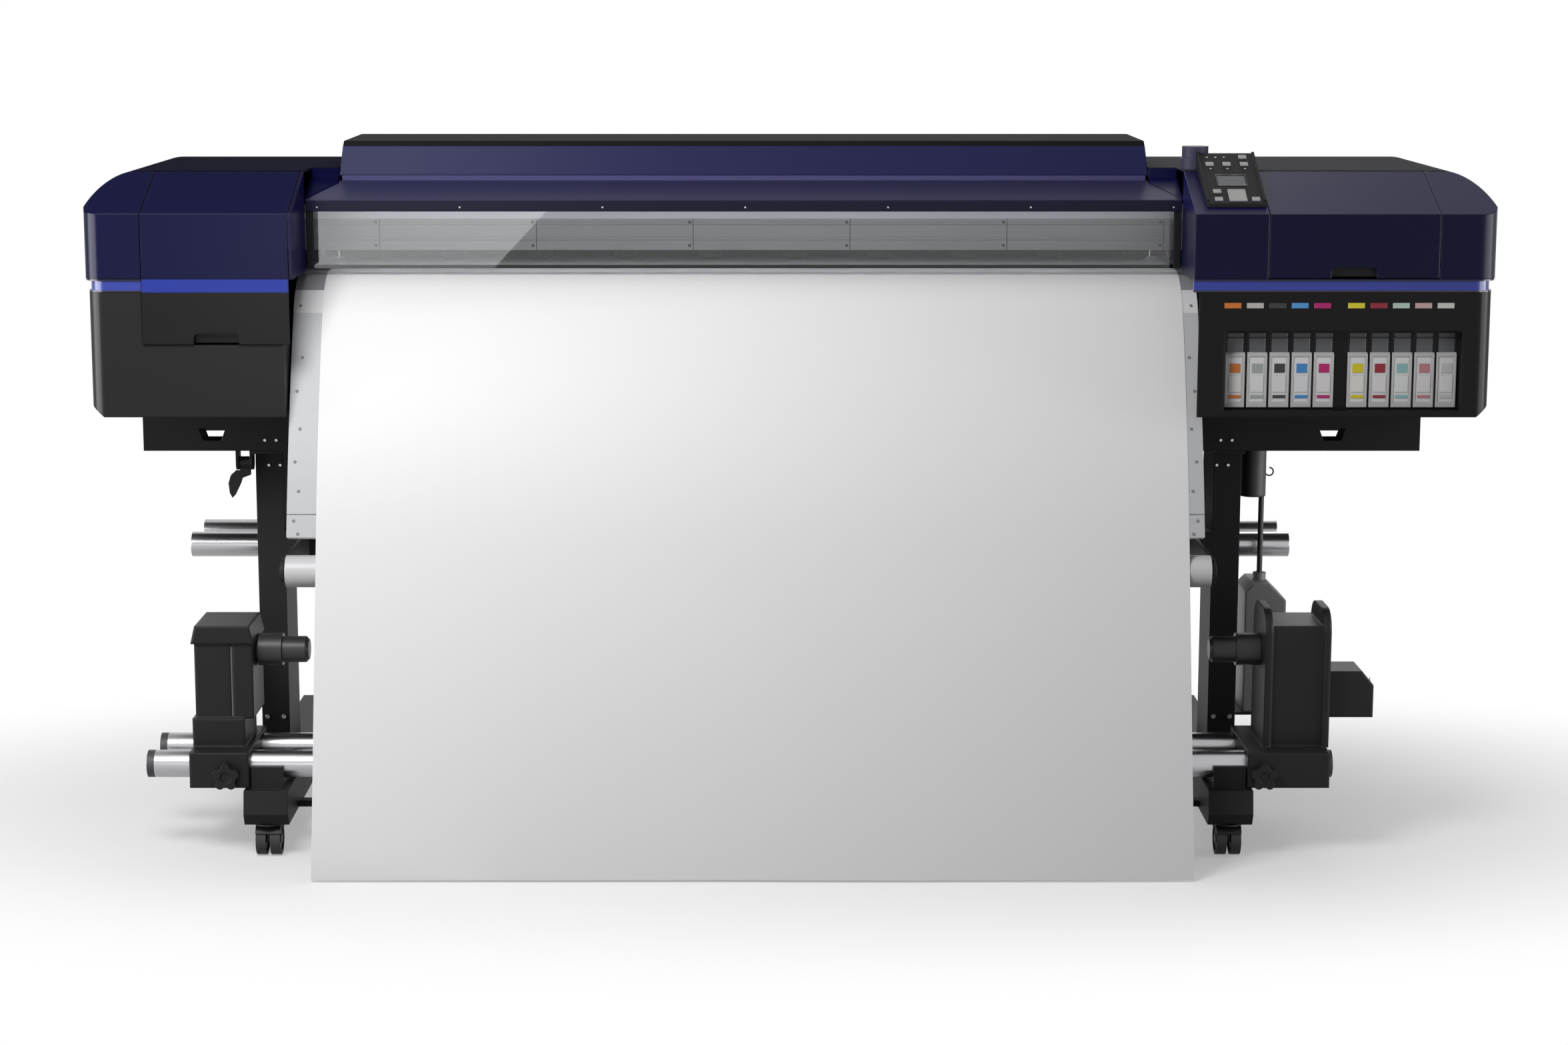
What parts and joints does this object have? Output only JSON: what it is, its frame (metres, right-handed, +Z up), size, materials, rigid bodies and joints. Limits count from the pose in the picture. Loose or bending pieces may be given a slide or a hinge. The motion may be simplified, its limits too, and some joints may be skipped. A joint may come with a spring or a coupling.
{
  "type": "wide format roll printer",
  "caption": "Wide roll-fed sign printer on a castered stand, with hinged covers, ink cartridges, heated platen, sliding carriage, supply roll and front take-up unit",
  "frame": {"origin": "on the floor, under the middle of the overall box", "axes": "+X to the right of someone facing the front, +Y to the rear, +Z up"},
  "size_m": [2.62, 1.0814, 1.332],
  "materials": {
    "black_steel": "fine textured black powder coat",
    "chrome_tube": "polished chrome plate",
    "platen_metal": "satin anodised",
    "heater_enamel": "smooth light grey paint",
    "beam_metal": "mill finish extrusion",
    "navy_plastic": "semi gloss painted moulding",
    "black_plastic": "fine grained moulding",
    "blue_plastic": "semi gloss painted strip",
    "panel_plastic": "membrane panel in a moulded frame",
    "bottle_plastic": "translucent blow moulding",
    "white_vinyl": "smooth white film",
    "clear_window": "clear smoked sheet",
    "roller_rubber": "ground rubber",
    "ground_steel": "ground with knurled sleeves",
    "hub_plastic": "moulded",
    "wheel_rubber": "moulded tread",
    "key_plastic": "light grey moulding",
    "ink_orange": "moulded case",
    "ink_light_grey": "moulded case",
    "ink_black": "moulded case",
    "ink_cyan": "moulded case",
    "ink_magenta": "moulded case",
    "ink_yellow": "moulded case",
    "ink_red": "moulded case",
    "ink_light_cyan": "moulded case",
    "ink_light_magenta": "moulded case",
    "ink_clear": "moulded case"
  },
  "bodies": {
    "frame": {"chassis": "black_steel", "stand": "black_steel", "guide_rails": "chrome_tube", "platen": "platen_metal", "after_heater": "heater_enamel", "carriage_beam": "beam_metal", "rear_cover": "black_plastic", "top_cover": "navy_plastic", "left_end_cap": "navy_plastic", "left_lower_cover": "black_plastic", "right_end_cap": "navy_plastic", "ink_housing": "black_plastic", "accent_strips": "blue_plastic", "control_panel": "panel_plastic", "drive_housing": "black_plastic", "feed_holders": "black_plastic", "waste_bottle": "bottle_plastic", "vinyl_web": "white_vinyl"},
    "front_cover": {"front_cover": "navy_plastic", "cover_window": "clear_window"},
    "left_service_door": {"left_service_door": "navy_plastic"},
    "right_service_door": {"right_service_door": "navy_plastic"},
    "media_lever": {"media_lever": "black_plastic"},
    "pinch_arms": {"pinch_arms": "black_steel"},
    "pinch_rollers": {"pinch_rollers": "roller_rubber"},
    "grit_roller": {"grit_roller": "ground_steel"},
    "guide_roller": {"guide_roller": "heater_enamel"},
    "carriage": {"carriage": "black_plastic"},
    "idler_housing": {"idler_housing": "black_plastic"},
    "idler_hub": {"idler_hub": "hub_plastic"},
    "drive_hub": {"drive_hub": "hub_plastic"},
    "supply_roll": {"supply_roll": "white_vinyl"},
    "clamp_knob_left": {"clamp_knob_left": "black_plastic"},
    "clamp_knob_right": {"clamp_knob_right": "black_plastic"},
    "caster_fork_1": {"caster_fork_1": "black_plastic"},
    "caster_wheels_1": {"caster_wheels_1": "wheel_rubber"},
    "caster_fork_2": {"caster_fork_2": "black_plastic"},
    "caster_wheels_2": {"caster_wheels_2": "wheel_rubber"},
    "caster_fork_3": {"caster_fork_3": "black_plastic"},
    "caster_wheels_3": {"caster_wheels_3": "wheel_rubber"},
    "caster_fork_4": {"caster_fork_4": "black_plastic"},
    "caster_wheels_4": {"caster_wheels_4": "wheel_rubber"},
    "cartridge_1": {"cartridge_1": "ink_orange"},
    "cartridge_2": {"cartridge_2": "ink_light_grey"},
    "cartridge_3": {"cartridge_3": "ink_black"},
    "cartridge_4": {"cartridge_4": "ink_cyan"},
    "cartridge_5": {"cartridge_5": "ink_magenta"},
    "cartridge_6": {"cartridge_6": "ink_yellow"},
    "cartridge_7": {"cartridge_7": "ink_red"},
    "cartridge_8": {"cartridge_8": "ink_light_cyan"},
    "cartridge_9": {"cartridge_9": "ink_light_magenta"},
    "cartridge_10": {"cartridge_10": "ink_clear"},
    "key_power": {"key_power": "key_plastic"},
    "key_menu": {"key_menu": "key_plastic"},
    "key_function": {"key_function": "key_plastic"},
    "key_setup": {"key_setup": "key_plastic"},
    "key_pause": {"key_pause": "key_plastic"},
    "key_feed": {"key_feed": "key_plastic"},
    "key_arrows": {"key_arrows": "key_plastic"},
    "key_enter": {"key_enter": "key_plastic"}
  },
  "joints": [
    {"name": "front_cover_hinge", "type": "hinge", "parent": "frame", "child": "front_cover", "pos_m": [-0.087, -0.06, 1.25], "axis": [-1, 0, 0], "range_deg": [0, 70]},
    {"name": "left_door_hinge", "type": "hinge", "parent": "frame", "child": "left_service_door", "pos_m": [-1.065, -0.15, 1.2775], "axis": [-1, 0, 0], "range_deg": [0, 85]},
    {"name": "right_door_hinge", "type": "hinge", "parent": "frame", "child": "right_service_door", "pos_m": [1.0425, -0.15, 1.2775], "axis": [-1, 0, 0], "range_deg": [0, 85]},
    {"name": "media_lever_hinge", "type": "hinge", "parent": "frame", "child": "media_lever", "pos_m": [-1.056, -0.09, 0.714], "axis": [-1, 0, 0], "range_deg": [0, 60]},
    {"name": "pinch_lift", "type": "hinge", "parent": "frame", "child": "pinch_arms", "pos_m": [-0.083, 0.195, 1.114], "axis": [-1, 0, 0], "range_deg": [0, 8]},
    {"name": "pinch_spin", "type": "hinge", "parent": "pinch_arms", "child": "pinch_rollers", "pos_m": [-0.083, 0.15, 1.0982], "axis": [1, 0, 0], "continuous": true},
    {"name": "grit_spin", "type": "hinge", "parent": "frame", "child": "grit_roller", "pos_m": [-0.083, 0.15, 1.074], "axis": [1, 0, 0], "continuous": true},
    {"name": "guide_spin", "type": "hinge", "parent": "frame", "child": "guide_roller", "pos_m": [-0.078, -0.35779, 0.5486], "axis": [1, 0, 0], "continuous": true},
    {"name": "supply_spin", "type": "hinge", "parent": "frame", "child": "supply_roll", "pos_m": [-0.07, 0.4262, 0.64], "axis": [1, 0, 0], "continuous": true},
    {"name": "carriage_slide", "type": "slide", "parent": "frame", "child": "carriage", "axis": [-1, 0, 0], "range_m": [0, 2.02]},
    {"name": "idler_slide", "type": "slide", "parent": "frame", "child": "idler_housing", "axis": [-1, 0, 0], "range_m": [0, 0.065]},
    {"name": "idler_spin", "type": "hinge", "parent": "idler_housing", "child": "idler_hub", "pos_m": [-1.012, -0.258, 0.379], "axis": [1, 0, 0], "continuous": true},
    {"name": "drive_spin", "type": "hinge", "parent": "frame", "child": "drive_hub", "pos_m": [0.897, -0.258, 0.379], "axis": [1, 0, 0], "continuous": true},
    {"name": "left_knob_turn", "type": "hinge", "parent": "idler_housing", "child": "clamp_knob_left", "pos_m": [-1.061, -0.375, 0.16], "axis": [0, -1, 0], "continuous": true},
    {"name": "right_knob_turn", "type": "hinge", "parent": "frame", "child": "clamp_knob_right", "pos_m": [0.892, -0.375, 0.16], "axis": [0, -1, 0], "continuous": true},
    {"name": "caster_swivel_1", "type": "hinge", "parent": "frame", "child": "caster_fork_1", "pos_m": [-0.987, -0.358, 0.066], "axis": [0, 0, 1], "continuous": true},
    {"name": "caster_roll_1", "type": "hinge", "parent": "caster_fork_1", "child": "caster_wheels_1", "pos_m": [-0.987, -0.346, 0.0305], "axis": [1, 0, 0], "continuous": true},
    {"name": "caster_swivel_2", "type": "hinge", "parent": "frame", "child": "caster_fork_2", "pos_m": [0.831, -0.358, 0.066], "axis": [0, 0, 1], "continuous": true},
    {"name": "caster_roll_2", "type": "hinge", "parent": "caster_fork_2", "child": "caster_wheels_2", "pos_m": [0.831, -0.346, 0.0305], "axis": [1, 0, 0], "continuous": true},
    {"name": "caster_swivel_3", "type": "hinge", "parent": "frame", "child": "caster_fork_3", "pos_m": [-0.987, 0.4, 0.066], "axis": [0, 0, 1], "continuous": true},
    {"name": "caster_roll_3", "type": "hinge", "parent": "caster_fork_3", "child": "caster_wheels_3", "pos_m": [-0.987, 0.412, 0.0305], "axis": [1, 0, 0], "continuous": true},
    {"name": "caster_swivel_4", "type": "hinge", "parent": "frame", "child": "caster_fork_4", "pos_m": [0.831, 0.4, 0.066], "axis": [0, 0, 1], "continuous": true},
    {"name": "caster_roll_4", "type": "hinge", "parent": "caster_fork_4", "child": "caster_wheels_4", "pos_m": [0.831, 0.412, 0.0305], "axis": [1, 0, 0], "continuous": true},
    {"name": "cartridge_1_pull", "type": "slide", "parent": "frame", "child": "cartridge_1", "axis": [0, -1, 0], "range_m": [0, 0.27]},
    {"name": "cartridge_2_pull", "type": "slide", "parent": "frame", "child": "cartridge_2", "axis": [0, -1, 0], "range_m": [0, 0.27]},
    {"name": "cartridge_3_pull", "type": "slide", "parent": "frame", "child": "cartridge_3", "axis": [0, -1, 0], "range_m": [0, 0.27]},
    {"name": "cartridge_4_pull", "type": "slide", "parent": "frame", "child": "cartridge_4", "axis": [0, -1, 0], "range_m": [0, 0.27]},
    {"name": "cartridge_5_pull", "type": "slide", "parent": "frame", "child": "cartridge_5", "axis": [0, -1, 0], "range_m": [0, 0.27]},
    {"name": "cartridge_6_pull", "type": "slide", "parent": "frame", "child": "cartridge_6", "axis": [0, -1, 0], "range_m": [0, 0.27]},
    {"name": "cartridge_7_pull", "type": "slide", "parent": "frame", "child": "cartridge_7", "axis": [0, -1, 0], "range_m": [0, 0.27]},
    {"name": "cartridge_8_pull", "type": "slide", "parent": "frame", "child": "cartridge_8", "axis": [0, -1, 0], "range_m": [0, 0.27]},
    {"name": "cartridge_9_pull", "type": "slide", "parent": "frame", "child": "cartridge_9", "axis": [0, -1, 0], "range_m": [0, 0.27]},
    {"name": "cartridge_10_pull", "type": "slide", "parent": "frame", "child": "cartridge_10", "axis": [0, -1, 0], "range_m": [0, 0.27]},
    {"name": "key_power_press", "type": "slide", "parent": "frame", "child": "key_power", "axis": [0, 0.4393, -0.8983], "range_m": [0, 0.0008], "stiffness_N_per_m": 1500},
    {"name": "key_menu_press", "type": "slide", "parent": "frame", "child": "key_menu", "axis": [0, 0.4393, -0.8983], "range_m": [0, 0.0008], "stiffness_N_per_m": 1500},
    {"name": "key_function_press", "type": "slide", "parent": "frame", "child": "key_function", "axis": [0, 0.4393, -0.8983], "range_m": [0, 0.0008], "stiffness_N_per_m": 1500},
    {"name": "key_setup_press", "type": "slide", "parent": "frame", "child": "key_setup", "axis": [0, 0.4393, -0.8983], "range_m": [0, 0.0008], "stiffness_N_per_m": 1500},
    {"name": "key_pause_press", "type": "slide", "parent": "frame", "child": "key_pause", "axis": [0, 0.4393, -0.8983], "range_m": [0, 0.0008], "stiffness_N_per_m": 1500},
    {"name": "key_feed_press", "type": "slide", "parent": "frame", "child": "key_feed", "axis": [0, 0.4393, -0.8983], "range_m": [0, 0.0008], "stiffness_N_per_m": 1500},
    {"name": "key_arrows_press", "type": "slide", "parent": "frame", "child": "key_arrows", "axis": [0, 0.4393, -0.8983], "range_m": [0, 0.0008], "stiffness_N_per_m": 1500},
    {"name": "key_enter_press", "type": "slide", "parent": "frame", "child": "key_enter", "axis": [0, 0.4393, -0.8983], "range_m": [0, 0.0008], "stiffness_N_per_m": 1500}
  ],
  "couplings": [
    {"joint": "pinch_lift", "follows": "media_lever_hinge", "ratio": 0.13333},
    {"joint": "grit_spin", "follows": "supply_spin", "ratio": -7.8571},
    {"joint": "pinch_spin", "follows": "supply_spin", "ratio": 12.222},
    {"joint": "guide_spin", "follows": "supply_spin", "ratio": -3.6667}
  ]
}
